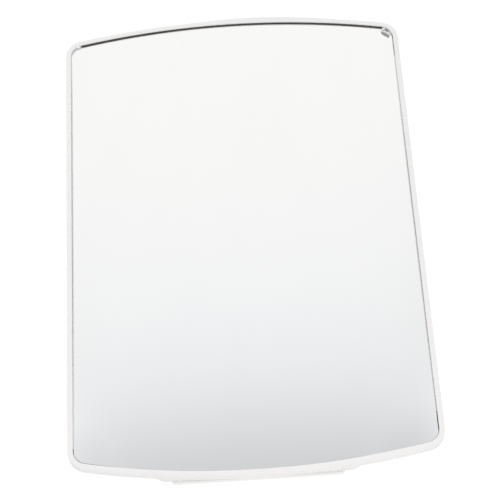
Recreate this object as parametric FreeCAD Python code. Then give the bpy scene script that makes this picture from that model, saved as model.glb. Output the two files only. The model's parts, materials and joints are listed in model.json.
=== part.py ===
"""Rectangular convex traffic mirror with a two-way swivel bracket that clamps to a round post.

Millimetres. The origin is on the post's axis at the middle of the clamp, which is also the
mirror's mid height. +Z runs up the post, the mirror faces -Y and +X is to its right as seen
from the road. Every piece is one named node, and every node is written to parts/NAME.step.
"""
import FreeCAD, Part
import math
import os

os.makedirs("parts", exist_ok=True)
V = FreeCAD.Vector
X_AXIS = V(1, 0, 0)
Y_AXIS = V(0, 1, 0)
Z_AXIS = V(0, 0, 1)

PAST = 1.0                  # how far a cutter runs past the faces that it cuts

# ---------------------------------------------------------------- mirror head outline
HEAD_WIDTH = 400.0
HEAD_HEIGHT = 600.0
ARCH_RISE = 22.1            # how far the top and bottom edges bow out
CORNER_RADIUS = 22.0
ARCH_RADIUS = ((HEAD_WIDTH / 2) ** 2 + ARCH_RISE ** 2) / (2 * ARCH_RISE)
ARCH_CENTRE_Z = HEAD_HEIGHT / 2 - ARCH_RADIUS

# ---------------------------------------------------------------- edging round the mirror
LIP_WIDTH = 6.0             # what shows of the edging from the front
LIP_THICKNESS = 1.6
EDGE_WALL = 2.0
REAR_LIP_WIDTH = 14.0
REAR_LIP_THICKNESS = 1.4
EDGE_ROUND = 1.2            # radius on the edging's outer front edge
LIP_ROUND = 0.5
BACK_BEVEL = 0.7            # on the outer rear edge
GROOVE_DEPTH = 0.35         # moulded lines round the edging's outer wall
GROOVE_WIDTH = 0.7
GROOVE_POSITIONS = (3.6, 7.2)
CROWN_LEFT = -50.0          # the edging stands a little proud along the middle of its top
CROWN_RIGHT = 126.0
CROWN_RISE = 2.7
CROWN_ROOT = 1.4            # the crown starts this far inside the outline

# ---------------------------------------------------------------- layers behind the lip
GASKET_THICKNESS = 2.2
GASKET_SEAL = 1.0           # thickness of the part that lies on the mirror's face
MIRROR_THICKNESS = 3.0
MIRROR_INSET = 3.2          # mirror's edge, in from the head's outline
MIRROR_DOME = 18.0          # rise of the dome in the middle
DOME_ACROSS = (0.4, 0.2)    # shares of its 2nd and 4th power terms, the rest being 8th power
DOME_UPWARD = (0.6, 0.3)
DOME_GRID_X = 21
DOME_GRID_Z = 31
DOME_MARGIN = 4.0           # the dome surface runs this far past the mirror's edge
TAPE_THICKNESS = 0.6
TAPE_INSET = 3.4
TAPE_WIDTH = 7.0
SHELL_THICKNESS = 2.0
SHELL_INSET = 2.4

# ---------------------------------------------------------------- the shell's hollow spine
SPINE_BASE_WIDTH = 219.0
SPINE_TOP_WIDTH = 200.0
SPINE_HEIGHT = 8.4          # above the shell's flat back
SPINE_ROUND = 4.0
SPINE_NOTCH_GAP = 0.2       # between the spine and the notch for it in the edging's rear lip

# ---------------------------------------------------------------- rail on the spine
RAIL_WIDTH = 183.0
RAIL_HEIGHT = 593.0
RAIL_DEPTH = 7.5
RAIL_SHEET = 1.5
RAIL_CORNER = 4.0
RAIL_BEND = 2.6             # outer radius of its pressed edge
RAIL_END_WALL = 7.0         # its ends are solid where they stand past the spine's arched ends
RAIL_BACK_Y = -144.0        # face that the yoke bolts to

# ---------------------------------------------------------------- positions along Y
SPINE_BACK_Y = RAIL_BACK_Y - RAIL_DEPTH
SHELL_BACK_Y = SPINE_BACK_Y - SPINE_HEIGHT
SHELL_FRONT_Y = SHELL_BACK_Y - SHELL_THICKNESS
TAPE_FRONT_Y = SHELL_FRONT_Y - TAPE_THICKNESS
MIRROR_FRONT_Y = TAPE_FRONT_Y - MIRROR_THICKNESS
GASKET_FRONT_Y = MIRROR_FRONT_Y - GASKET_THICKNESS
HEAD_FRONT_Y = GASKET_FRONT_Y - LIP_THICKNESS
EDGING_BACK_Y = SHELL_BACK_Y + REAR_LIP_THICKNESS
SPINE_INNER_Y = SPINE_BACK_Y - SHELL_THICKNESS
RAIL_INNER_Y = RAIL_BACK_Y - RAIL_SHEET

# ---------------------------------------------------------------- corner wedge in the gasket
WEDGE_LENGTH = 11.8
WEDGE_WIDTH = 9.0
WEDGE_CENTRE = (187.3, 267.1)
WEDGE_TURN = 40.0           # degrees down from horizontal
WEDGE_RIBS = 6
WEDGE_RIB_WIDTH = 1.1
WEDGE_RIB_HEIGHT = 0.5
WEDGE_FRONT_Y = GASKET_FRONT_Y + 0.3

# ---------------------------------------------------------------- screws and rivets of the head
RIVET_INSET = 9.5
RIVET_SIDE_HEIGHTS = (-150.0, 0.0, 150.0)
RIVET_END_X = 145.0
RIVET_HEAD_RADIUS = 4.0
RIVET_HEAD_HEIGHT = 1.4
RIVET_HEAD_ROUND = 1.2
RIVET_SHANK_RADIUS = 2.0
RIVET_TAIL_RADIUS = 3.0
RIVET_TAIL_HEIGHT = 0.7
RAIL_SCREW_X = 75.0
RAIL_SCREW_HEIGHTS = (-240.0, 0.0, 240.0)
RAIL_SCREW_RADIUS = 2.5
RAIL_SCREW_HOLE_RADIUS = 2.7
RAIL_SCREW_HEAD_RADIUS = 4.75
RAIL_SCREW_HEAD_HEIGHT = 2.8
RAIL_SCREW_HEAD_ROUND = 2.1
RAIL_SCREW_SOCKET = 3.0     # across flats
RAIL_SCREW_SOCKET_FLOOR = 1.26
RAIL_SCREW_TIP = 4.0        # past the nut strip's face that it enters
NUT_STRIP_WIDTH = 18.0
NUT_STRIP_THICKNESS = 2.5
NUT_STRIP_LENGTH = 520.0
NUT_STRIP_CORNER = 3.0
SCREW_SPACER_RADIUS = 5.5
DRAIN_RADIUS = 3.0
DRAIN_XS = (-165.0, -135.0, 135.0, 165.0)
DRAIN_Z = -262.0
SWAGE_HEIGHTS = (-180.0, -90.0, 0.0, 90.0, 180.0)
SWAGE_LENGTH = 52.0
SWAGE_WIDTH = 12.0
SWAGE_RISE = 1.8
SWAGE_ROUND = 1.44
SWAGE_END_FLAT = 0.05       # left of the straight end between its two rounds
SWAGE_X = 149.0

# ---------------------------------------------------------------- yoke on the rail
YOKE_BASE = 100.0
YOKE_BASE_THICKNESS = 4.0
YOKE_BASE_CORNER = 8.0
YOKE_BOLT_OFFSET = 38.0
YOKE_EAR_THICKNESS = 5.0
YOKE_EAR_BASE_HALF = 26.0
YOKE_EAR_EYE = 16.0
YOKE_EAR_ROOT = 1.0         # the ears start this far into the base plate
BACKING_PLATE = 120.0
BACKING_PLATE_THICKNESS = 3.0
SLEEVE_RADIUS = 8.0

# ---------------------------------------------------------------- swivel
PAN_AXIS_Y = -66.0
TILT_AXIS_Y = -108.0
BARREL_RADIUS = 16.0
PAN_BARREL_HALF = 23.0
TILT_BARREL_HALF = 28.0
DISC_THICKNESS = 2.0
DISC_RADIUS = 14.5
RUNNING_GAP = 0.1           # between faces that turn against each other
PIVOT_RADIUS = 6.0          # M12 pivot bolts
PIVOT_BORE_RADIUS = 6.05
PIVOT_HOLE_RADIUS = 6.25
WEB_WIDTH = 18.0
WEB_HEIGHT = 26.0
WEB_ROUND = 4.0

# ---------------------------------------------------------------- clamp on the post
POST_RADIUS = 30.0
CLAMP_SHEET = 4.0
CLAMP_HEIGHT = 80.0
CLAMP_GAP = 6.0             # between the two halves' ears
CLAMP_EAR_REACH = 62.0
CLAMP_EAR_CORNER = 6.0
CLAMP_BOLT_X = 48.0
CLAMP_BOLT_Z = 22.0
FORK_THICKNESS = 5.0
FORK_EYE = 18.0
FORK_ROOT_HALF = 27.0
FORK_ROOT_Y = -14.0
GUSSET_THICKNESS = 6.0
GUSSET_FRONT_Y = -47.0

# ---------------------------------------------------------------- fasteners
M8 = {"radius": 4.0, "pitch": 1.25, "flats": 13.0, "head": 5.3, "nut": 6.8, "hole": 4.5,
      "washer_radius": 8.0, "washer": 1.6}
M12 = {"radius": 6.0, "pitch": 1.75, "flats": 18.0, "head": 7.5, "nut": 12.0, "hole": 6.5,
       "washer_radius": 12.0, "washer": 2.5}
THREAD_DEPTH_PER_PITCH = 0.55
THREAD_CREST_START = 0.4    # share of the pitch
THREAD_CREST_END = 0.6
HEX_CROWN_SHARE = 0.9       # of the gap between a hexagon's corners and its flats
LOCK_NUT_HEX_SHARE = 0.72   # of the nut's height
LOCK_NUT_COLLAR_SHARE = 0.93    # of its width across flats
LOCK_NUT_ROUND_SHARE = 0.12     # of its height
BOLT_TIP = 3.0              # thread that stands out past the nut


# ================================================================ helpers
def write(name, shape):
    """Writes one node."""
    shape.exportStep("parts/" + name + ".step")


def box(x_range, y_range, z_range):
    """A box between two corners, each given as a range."""
    size = [r[1] - r[0] for r in (x_range, y_range, z_range)]
    return Part.makeBox(*size, V(x_range[0], y_range[0], z_range[0]))


def rod(radius, start, end):
    """A round bar between two points."""
    path = end - start
    return Part.makeCylinder(radius, path.Length, start, path)


def tube(outer, inner, start, end):
    """A round bar with a bore."""
    return rod(outer, start, end).cut(rod(inner, start, end))


def edges_along(shape, axis):
    """The straight edges of a shape that run along one axis."""
    found = []
    for edge in shape.Edges:
        if not isinstance(edge.Curve, Part.Line):
            continue
        run = edge.Vertexes[-1].Point - edge.Vertexes[0].Point
        if abs(run.dot(axis)) > 0.9999 * run.Length:
            found.append(edge)
    return found


def rounded_box(x_range, y_range, z_range, radius, axis):
    """A box whose edges along one axis are rounded."""
    block = box(x_range, y_range, z_range)
    return block.makeFillet(radius, edges_along(block, axis))


def arch_height(x, inset):
    """Height of the arched top edge at x, on an outline drawn in by inset."""
    return ARCH_CENTRE_Z + math.sqrt((ARCH_RADIUS - inset) ** 2 - x ** 2)


def outline_prism(inset, y_front, y_back):
    """The head's outline, drawn in by inset and extruded along Y."""
    half = HEAD_WIDTH / 2 - inset
    shoulder = arch_height(half, inset)
    crown = HEAD_HEIGHT / 2 - inset
    lower_right = V(half, y_front, -shoulder)
    upper_right = V(half, y_front, shoulder)
    upper_left = V(-half, y_front, shoulder)
    lower_left = V(-half, y_front, -shoulder)
    sides = [
        Part.LineSegment(lower_right, upper_right),
        Part.Arc(upper_right, V(0, y_front, crown), upper_left),
        Part.LineSegment(upper_left, lower_left),
        Part.Arc(lower_left, V(0, y_front, -crown), lower_right),
    ]
    wire = Part.Wire([side.toShape() for side in sides])
    prism = Part.Face(wire).extrude(V(0, y_back - y_front, 0))
    return prism.makeFillet(CORNER_RADIUS - inset, edges_along(prism, Y_AXIS))


def outline_ring(inset_outer, inset_inner, y_front, y_back):
    """A band that follows the head's outline."""
    inner = outline_prism(inset_inner, y_front, y_back)
    return outline_prism(inset_outer, y_front, y_back).cut(inner)


def face_at_y(shape, y):
    """The largest flat face of a shape in the plane of that y."""
    flat = [f for f in shape.Faces if abs(f.BoundBox.YMin - y) + abs(f.BoundBox.YMax - y) < 1e-4]
    return max(flat, key=lambda face: face.BoundBox.DiagonalLength)


def lug_outline(root_half, root, eye, eye_radius):
    """Outline of a tapered lug in its own plane, from a straight root at u = root to a round eye at u = eye.

    Returns the four corner points (u, v) of its straight part, which is tangent to the eye.
    """
    reach = eye - root
    span = math.hypot(reach, root_half)
    lean = math.atan2(-root_half * math.copysign(1, reach), abs(reach))
    turn = math.acos(eye_radius / span)
    along = math.pi - abs(lean) - turn
    touch_u = eye - math.copysign(1, reach) * eye_radius * math.cos(along)
    touch_v = eye_radius * math.sin(along)
    return [(root, -root_half), (touch_u, -touch_v), (touch_u, touch_v), (root, root_half)]


def polygon_face(points):
    """A flat face with straight sides."""
    return Part.Face(Part.makePolygon(points + [points[0]]))


def hex_prism(flats, height):
    """A hexagon standing on the XY plane, its corners taken off at the top."""
    corner = flats / math.sqrt(3)
    points = [V(corner * math.cos(math.radians(a)), corner * math.sin(math.radians(a)), 0)
              for a in range(0, 360, 60)]
    prism = polygon_face(points).extrude(V(0, 0, height))
    crown = Part.makeCylinder(corner, height)
    top_edge = [e for e in crown.Edges if e.Closed and e.BoundBox.ZMin > height / 2]
    crown = crown.makeChamfer((corner - flats / 2) * HEX_CROWN_SHARE, top_edge)
    return prism.common(crown)


def ring_thread(radius, pitch, z_start, z_end):
    """A threaded length from z_start up to z_end, its turns drawn as rings."""
    depth = pitch * THREAD_DEPTH_PER_PITCH
    turns = int((z_end - z_start) / pitch)
    points = [V(0, 0, z_start), V(radius - depth, 0, z_start)]
    for turn in range(turns):
        foot = z_start + turn * pitch
        points.append(V(radius, 0, foot + pitch * THREAD_CREST_START))
        points.append(V(radius, 0, foot + pitch * THREAD_CREST_END))
        points.append(V(radius - depth, 0, foot + pitch))
    points.append(V(radius - depth, 0, z_end))
    points.append(V(0, 0, z_end))
    return polygon_face(points).revolve(V(0, 0, 0), Z_AXIS, 360)


def hex_bolt(size, grip, total):
    """A hex bolt: its head stands on z = 0, and the shank goes down to z = -total.

    The shank is plain for the grip and threaded below it.
    """
    head = hex_prism(size["flats"], size["head"])
    shank = rod(size["radius"], V(0, 0, -grip), V(0, 0, 0))
    thread = ring_thread(size["radius"], size["pitch"], -total, -grip)
    return head.fuse([shank, thread]).removeSplitter()


def hex_nut(size, height):
    """A hex nut standing on the XY plane."""
    nut = hex_prism(size["flats"], height)
    return nut.cut(rod(size["radius"], V(0, 0, -PAST), V(0, 0, height + PAST)))


def lock_nut(size):
    """A hex nut with the round collar that holds its nylon ring."""
    hex_height = size["nut"] * LOCK_NUT_HEX_SHARE
    collar_radius = size["flats"] / 2 * LOCK_NUT_COLLAR_SHARE
    collar = rod(collar_radius, V(0, 0, 0), V(0, 0, size["nut"]))
    rim = [e for e in collar.Edges if e.Closed and e.BoundBox.ZMin > hex_height]
    collar = collar.makeFillet(size["nut"] * LOCK_NUT_ROUND_SHARE, rim)
    nut = hex_prism(size["flats"], hex_height).fuse(collar)
    return nut.cut(rod(size["radius"], V(0, 0, -PAST), V(0, 0, size["nut"] + PAST)))


def washer(size):
    """A plain washer standing on the XY plane."""
    return tube(size["washer_radius"], size["hole"], V(0, 0, 0), V(0, 0, size["washer"]))


def put(shape, point, direction):
    """A copy of a shape with its own +Z turned to a direction and its origin moved to a point."""
    copy = shape.copy()
    copy.Placement = FreeCAD.Placement(point, FreeCAD.Rotation(Z_AXIS, direction))
    return copy


def group(shapes):
    """Separate solids that share one node."""
    return Part.makeCompound(shapes)


# ================================================================ mirror head
def bow(t, shares):
    """The dome's section, from 1 in the middle to 0 at t = 1: gently curved, then rolling off at the edge."""
    return 1 - shares[0] * t ** 2 - shares[1] * t ** 4 - (1 - sum(shares)) * t ** 8


def dome_rise(x, z):
    """How far the mirror's face stands forward of its edge."""
    u = x / (HEAD_WIDTH / 2 - MIRROR_INSET)
    v = z / arch_height(x, MIRROR_INSET)
    return MIRROR_DOME * bow(u, DOME_ACROSS) * bow(v, DOME_UPWARD)


def make_mirror_face():
    """The domed mirror sheet."""
    half_x = HEAD_WIDTH / 2 - MIRROR_INSET + DOME_MARGIN
    half_z = HEAD_HEIGHT / 2 - MIRROR_INSET + DOME_MARGIN
    grid = []
    for i in range(DOME_GRID_X):
        x = half_x * (2 * i / (DOME_GRID_X - 1) - 1)
        zs = [half_z * (2 * j / (DOME_GRID_Z - 1) - 1) for j in range(DOME_GRID_Z)]
        grid.append([V(x, MIRROR_FRONT_Y - dome_rise(x, z), z) for z in zs])
    surface = Part.BSplineSurface()
    surface.interpolate(grid)
    sheet = surface.toShape().extrude(V(0, MIRROR_THICKNESS, 0))
    window = outline_prism(MIRROR_INSET, MIRROR_FRONT_Y - 2 * MIRROR_DOME, SHELL_BACK_Y)
    return sheet.common(window)


def spine_block(grow_side, grow_top, z_half, y_front):
    """The spine's long trapezoidal block. A negative growth gives its hollow."""
    slope = (SPINE_BASE_WIDTH - SPINE_TOP_WIDTH) / 2 / SPINE_HEIGHT
    top_y = SPINE_BACK_Y + grow_top
    top_half = SPINE_TOP_WIDTH / 2 + grow_side - grow_top * slope
    base_half = SPINE_BASE_WIDTH / 2 + grow_side + (SHELL_BACK_Y - y_front) * slope
    corners = [V(-base_half, y_front, -z_half), V(base_half, y_front, -z_half),
               V(top_half, top_y, -z_half), V(-top_half, top_y, -z_half)]
    return polygon_face(corners).extrude(V(0, 0, 2 * z_half))


def make_spine_outer():
    """The outside of the spine, with rounded long edges and ends that follow the head's outline."""
    z_half = arch_height(SPINE_TOP_WIDTH / 2, 0)
    block = spine_block(0, 0, z_half, SHELL_BACK_Y)
    top_edges = [e for e in edges_along(block, Z_AXIS) if e.BoundBox.YMin > SPINE_BACK_Y - 0.01]
    block = block.makeFillet(SPINE_ROUND, top_edges)
    return block.common(outline_prism(0, SHELL_FRONT_Y, SPINE_BACK_Y + PAST))


def make_spine_hollow():
    """The space inside the spine, open to the front."""
    slope_angle = math.atan2(SPINE_HEIGHT, (SPINE_BASE_WIDTH - SPINE_TOP_WIDTH) / 2)
    side = SHELL_THICKNESS / math.sin(slope_angle)
    z_half = arch_height(SPINE_TOP_WIDTH / 2, 0) - SHELL_THICKNESS
    block = spine_block(-side, -SHELL_THICKNESS, z_half, SHELL_FRONT_Y - 1)
    return block.common(outline_prism(SHELL_INSET + SHELL_THICKNESS, SHELL_FRONT_Y - 2 * PAST, SPINE_BACK_Y))


def swage(x, z):
    """One shallow rounded stiffening bead on the shell's flat back."""
    half = SWAGE_LENGTH / 2
    low = SHELL_BACK_Y - SHELL_THICKNESS / 2
    bead = rounded_box((x - half, x + half), (low, SHELL_BACK_Y + SWAGE_RISE),
                       (z - SWAGE_WIDTH / 2, z + SWAGE_WIDTH / 2), SWAGE_WIDTH / 2 - SWAGE_END_FLAT, Y_AXIS)
    rim = face_at_y(bead, SHELL_BACK_Y + SWAGE_RISE).Edges
    return bead.makeFillet(SWAGE_ROUND, rim)


def yoke_bolt_points():
    """The four bolt positions of the yoke's base, as (x, z)."""
    return [(x, z) for x in (-YOKE_BOLT_OFFSET, YOKE_BOLT_OFFSET)
            for z in (-YOKE_BOLT_OFFSET, YOKE_BOLT_OFFSET)]


def rail_screw_points():
    """The rail's screw positions, as (x, z)."""
    return [(x, z) for x in (-RAIL_SCREW_X, RAIL_SCREW_X) for z in RAIL_SCREW_HEIGHTS]


def rivet_points():
    """The edging's rivet positions, as (x, z)."""
    side_x = HEAD_WIDTH / 2 - RIVET_INSET
    end_z = arch_height(RIVET_END_X, RIVET_INSET)
    points = [(x, z) for x in (-side_x, side_x) for z in RIVET_SIDE_HEIGHTS]
    points += [(x, z) for x in (-RIVET_END_X, RIVET_END_X) for z in (-end_z, end_z)]
    return points


def holes_along_y(points, radius, y_front, y_back):
    """Round cutters along Y at the given (x, z) points."""
    return [rod(radius, V(x, y_front, z), V(x, y_back, z)) for x, z in points]


def make_back_shell():
    """The white back pan with its hollow spine, swages and drain holes."""
    plate = outline_prism(SHELL_INSET, SHELL_FRONT_Y, SHELL_BACK_Y)
    swages = [swage(x, z) for x in (-SWAGE_X, SWAGE_X) for z in SWAGE_HEIGHTS]
    shell = plate.fuse([make_spine_outer()] + swages).cut(make_spine_hollow())
    cutters = holes_along_y(yoke_bolt_points(), M8["hole"], SHELL_FRONT_Y, SPINE_BACK_Y + PAST)
    cutters += holes_along_y(rail_screw_points(), RAIL_SCREW_HOLE_RADIUS, SHELL_FRONT_Y, SPINE_BACK_Y + PAST)
    cutters += holes_along_y(rivet_points(), RIVET_SHANK_RADIUS, SHELL_FRONT_Y - PAST, SHELL_BACK_Y + PAST)
    drains = [(x, DRAIN_Z) for x in DRAIN_XS]
    cutters += holes_along_y(drains, DRAIN_RADIUS, SHELL_FRONT_Y - PAST, SHELL_BACK_Y + PAST)
    return shell.cut(cutters).removeSplitter()


def edging_crown():
    """The flat bow of edging that stands proud along the middle of the top."""
    middle = (CROWN_LEFT + CROWN_RIGHT) / 2
    left = V(CROWN_LEFT, HEAD_FRONT_Y, arch_height(CROWN_LEFT, CROWN_ROOT))
    right = V(CROWN_RIGHT, HEAD_FRONT_Y, arch_height(CROWN_RIGHT, CROWN_ROOT))
    under = V(middle, HEAD_FRONT_Y, arch_height(middle, CROWN_ROOT))
    over = V(middle, HEAD_FRONT_Y, arch_height(middle, 0) + CROWN_RISE)
    outline = Part.Wire([Part.Arc(left, over, right).toShape(), Part.Arc(right, under, left).toShape()])
    return Part.Face(outline).extrude(V(0, EDGING_BACK_Y - BACK_BEVEL - HEAD_FRONT_Y, 0))


def make_bezel_frame():
    """The white edging: a channel that wraps round the mirror, gasket and shell."""
    frame = outline_prism(0, HEAD_FRONT_Y, EDGING_BACK_Y)
    front_y = HEAD_FRONT_Y + LIP_THICKNESS
    pocket = outline_prism(EDGE_WALL, front_y, SHELL_BACK_Y)
    front_window = outline_prism(LIP_WIDTH, HEAD_FRONT_Y - PAST, front_y + PAST)
    rear_window = outline_prism(REAR_LIP_WIDTH, SHELL_BACK_Y - PAST, EDGING_BACK_Y + PAST)
    frame = frame.cut([pocket, front_window, rear_window])
    front_loops = sorted(face_at_y(frame, HEAD_FRONT_Y).Wires, key=lambda w: w.BoundBox.DiagonalLength)
    frame = frame.makeFillet(LIP_ROUND, front_loops[0].Edges)
    front_loops = sorted(face_at_y(frame, HEAD_FRONT_Y).Wires, key=lambda w: w.BoundBox.DiagonalLength)
    frame = frame.makeFillet(EDGE_ROUND, front_loops[-1].Edges)
    back_loops = sorted(face_at_y(frame, EDGING_BACK_Y).Wires, key=lambda w: w.BoundBox.DiagonalLength)
    frame = frame.makeChamfer(BACK_BEVEL, back_loops[-1].Edges)
    for position in GROOVE_POSITIONS:
        start = HEAD_FRONT_Y + position
        frame = frame.cut(outline_ring(-PAST, GROOVE_DEPTH, start, start + GROOVE_WIDTH))
    cutters = holes_along_y(rivet_points(), RIVET_SHANK_RADIUS, SHELL_BACK_Y - PAST, EDGING_BACK_Y + PAST)
    notch = spine_block(SPINE_NOTCH_GAP, 0, HEAD_HEIGHT, SHELL_BACK_Y)
    return frame.fuse(edging_crown()).cut([notch] + cutters)


def make_front_gasket():
    """The black rubber strip under the lip: L-shaped, over the mirror's face and down past its edge."""
    gasket = outline_ring(EDGE_WALL, LIP_WIDTH, GASKET_FRONT_Y, MIRROR_FRONT_Y)
    step = outline_prism(MIRROR_INSET, GASKET_FRONT_Y + GASKET_SEAL, MIRROR_FRONT_Y + PAST)
    return gasket.cut(step)


def make_corner_wedge(mirror):
    """The small ribbed wedge that closes the gasket's joint in the upper right corner."""
    half = WEDGE_LENGTH / 2
    back = MIRROR_FRONT_Y + PAST
    bar = box((-half, half), (WEDGE_FRONT_Y, back), (-WEDGE_WIDTH / 2, WEDGE_WIDTH / 2))
    ribs = []
    for i in range(WEDGE_RIBS):
        middle = (i + 0.5) * WEDGE_LENGTH / WEDGE_RIBS - half
        ribs.append(box((middle - WEDGE_RIB_WIDTH / 2, middle + WEDGE_RIB_WIDTH / 2),
                        (WEDGE_FRONT_Y - WEDGE_RIB_HEIGHT, WEDGE_FRONT_Y + WEDGE_RIB_HEIGHT),
                        (-WEDGE_WIDTH / 2, WEDGE_WIDTH / 2)))
    wedge = bar.fuse(ribs)
    wedge.rotate(V(0, 0, 0), Y_AXIS, WEDGE_TURN)
    wedge.translate(V(WEDGE_CENTRE[0], 0, WEDGE_CENTRE[1]))
    window = outline_prism(LIP_WIDTH, HEAD_FRONT_Y, SHELL_FRONT_Y)
    return wedge.common(window).cut(mirror).removeSplitter()


def make_rivet():
    """One rivet: its head's underside at z = 0, its shank and tail below."""
    head = rod(RIVET_HEAD_RADIUS, V(0, 0, 0), V(0, 0, RIVET_HEAD_HEIGHT))
    rim = [e for e in head.Edges if e.Closed and e.BoundBox.ZMin > RIVET_HEAD_HEIGHT / 2]
    head = head.makeFillet(RIVET_HEAD_ROUND, rim)
    grip = REAR_LIP_THICKNESS + SHELL_THICKNESS
    shank = rod(RIVET_SHANK_RADIUS, V(0, 0, -grip), V(0, 0, 0))
    tail = rod(RIVET_TAIL_RADIUS, V(0, 0, -grip - RIVET_TAIL_HEIGHT), V(0, 0, -grip))
    return head.fuse([shank, tail])


def make_rear_rail():
    """The shallow steel pan along the spine, open towards the shell."""
    half_w = RAIL_WIDTH / 2
    half_h = RAIL_HEIGHT / 2
    rail = rounded_box((-half_w, half_w), (SPINE_BACK_Y, RAIL_BACK_Y), (-half_h, half_h),
                       RAIL_CORNER, Y_AXIS)
    rail = rail.makeFillet(RAIL_BEND, face_at_y(rail, RAIL_BACK_Y).Edges)
    inner_w = half_w - RAIL_SHEET
    inner_h = half_h - RAIL_END_WALL
    hollow = rounded_box((-inner_w, inner_w), (SPINE_BACK_Y, RAIL_INNER_Y), (-inner_h, inner_h),
                         RAIL_CORNER - RAIL_SHEET, Y_AXIS)
    cutters = holes_along_y(yoke_bolt_points(), M8["hole"], SPINE_BACK_Y, RAIL_BACK_Y + PAST)
    cutters += holes_along_y(rail_screw_points(), RAIL_SCREW_HOLE_RADIUS, SPINE_BACK_Y, RAIL_BACK_Y + PAST)
    return rail.cut([hollow] + cutters)


def make_rail_screw():
    """One button-head screw: its head stands on z = 0."""
    head = rod(RAIL_SCREW_HEAD_RADIUS, V(0, 0, 0), V(0, 0, RAIL_SCREW_HEAD_HEIGHT))
    rim = [e for e in head.Edges if e.Closed and e.BoundBox.ZMin > RAIL_SCREW_HEAD_HEIGHT / 2]
    head = head.makeFillet(RAIL_SCREW_HEAD_ROUND, rim)
    length = RAIL_BACK_Y - SPINE_INNER_Y + RAIL_SCREW_TIP
    shank = rod(RAIL_SCREW_RADIUS, V(0, 0, -length), V(0, 0, 0))
    socket = hex_prism(RAIL_SCREW_SOCKET, RAIL_SCREW_HEAD_HEIGHT)
    socket.translate(V(0, 0, RAIL_SCREW_SOCKET_FLOOR))
    return head.fuse(shank).removeSplitter().cut(socket)


def make_nut_strips():
    """Two tapped strips inside the spine for the rail's screws."""
    strips = []
    for x in (-RAIL_SCREW_X, RAIL_SCREW_X):
        strip = rounded_box((x - NUT_STRIP_WIDTH / 2, x + NUT_STRIP_WIDTH / 2),
                            (SPINE_INNER_Y - NUT_STRIP_THICKNESS, SPINE_INNER_Y),
                            (-NUT_STRIP_LENGTH / 2, NUT_STRIP_LENGTH / 2), NUT_STRIP_CORNER, Y_AXIS)
        holes = holes_along_y([(x, z) for z in RAIL_SCREW_HEIGHTS], RAIL_SCREW_RADIUS,
                              SPINE_INNER_Y - NUT_STRIP_THICKNESS - PAST, SPINE_INNER_Y + PAST)
        strips.append(strip.cut(holes))
    return group(strips)


def make_backing_plate():
    """The steel plate inside the spine that the yoke's bolts pull against."""
    half = BACKING_PLATE / 2
    front = SPINE_INNER_Y - BACKING_PLATE_THICKNESS
    plate = rounded_box((-half, half), (front, SPINE_INNER_Y), (-half, half), YOKE_BASE_CORNER, Y_AXIS)
    return plate.cut(holes_along_y(yoke_bolt_points(), M8["hole"], front - PAST, SPINE_INNER_Y + PAST))


def spacers(points, outer, inner):
    """Rings inside the rail that stop it from being crushed."""
    return group([tube(outer, inner, V(x, SPINE_BACK_Y, z), V(x, RAIL_INNER_Y, z)) for x, z in points])


def make_head_yoke():
    """The welded yoke: a base plate and two ears that carry the tilt bolt."""
    half = YOKE_BASE / 2
    base_back = RAIL_BACK_Y + YOKE_BASE_THICKNESS
    base = rounded_box((-half, half), (RAIL_BACK_Y, base_back), (-half, half), YOKE_BASE_CORNER, Y_AXIS)
    base = base.cut(holes_along_y(yoke_bolt_points(), M8["hole"], RAIL_BACK_Y - PAST, base_back + PAST))
    ears = []
    inner_x = TILT_BARREL_HALF + DISC_THICKNESS + RUNNING_GAP
    for x in (inner_x, -inner_x - YOKE_EAR_THICKNESS):
        corners = lug_outline(YOKE_EAR_BASE_HALF, RAIL_BACK_Y + YOKE_EAR_ROOT, TILT_AXIS_Y, YOKE_EAR_EYE)
        ear = polygon_face([V(x, u, v) for u, v in corners]).extrude(V(YOKE_EAR_THICKNESS, 0, 0))
        eye = rod(YOKE_EAR_EYE, V(x, TILT_AXIS_Y, 0), V(x + YOKE_EAR_THICKNESS, TILT_AXIS_Y, 0))
        ears += [ear, eye]
    yoke = base.fuse(ears).removeSplitter()
    reach = inner_x + YOKE_EAR_THICKNESS + PAST
    return yoke.cut(rod(PIVOT_HOLE_RADIUS, V(-reach, TILT_AXIS_Y, 0), V(reach, TILT_AXIS_Y, 0)))


def write_yoke_fasteners():
    """Bolts from inside the spine, with washers and nuts on the yoke's base."""
    head_y = SPINE_INNER_Y - BACKING_PLATE_THICKNESS
    base_back = RAIL_BACK_Y + YOKE_BASE_THICKNESS
    grip = base_back - head_y
    total = grip + M8["washer"] + M8["nut"] + BOLT_TIP
    bolt = hex_bolt(M8, grip, total)
    ring = washer(M8)
    nut = hex_nut(M8, M8["nut"])
    points = yoke_bolt_points()
    write("yoke_bolts", group([put(bolt, V(x, head_y, z), -Y_AXIS) for x, z in points]))
    write("yoke_washers", group([put(ring, V(x, base_back, z), Y_AXIS) for x, z in points]))
    nut_y = base_back + M8["washer"]
    write("yoke_nuts", group([put(nut, V(x, nut_y, z), Y_AXIS) for x, z in points]))


def write_tilt_pivot():
    """The tilt bolt through the yoke's ears, with washers and a lock nut."""
    outer_x = TILT_BARREL_HALF + DISC_THICKNESS + RUNNING_GAP + YOKE_EAR_THICKNESS
    head_x = outer_x + M12["washer"]
    grip = head_x + outer_x
    bolt = hex_bolt(M12, grip, grip + M12["washer"] + M12["nut"] + BOLT_TIP)
    write("tilt_bolt", put(bolt, V(head_x, TILT_AXIS_Y, 0), X_AXIS))
    write("tilt_nut", put(lock_nut(M12), V(-head_x, TILT_AXIS_Y, 0), -X_AXIS))
    ring = washer(M12)
    write("tilt_washers", group([put(ring, V(outer_x, TILT_AXIS_Y, 0), X_AXIS),
                                 put(ring, V(-outer_x, TILT_AXIS_Y, 0), -X_AXIS)]))


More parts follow.
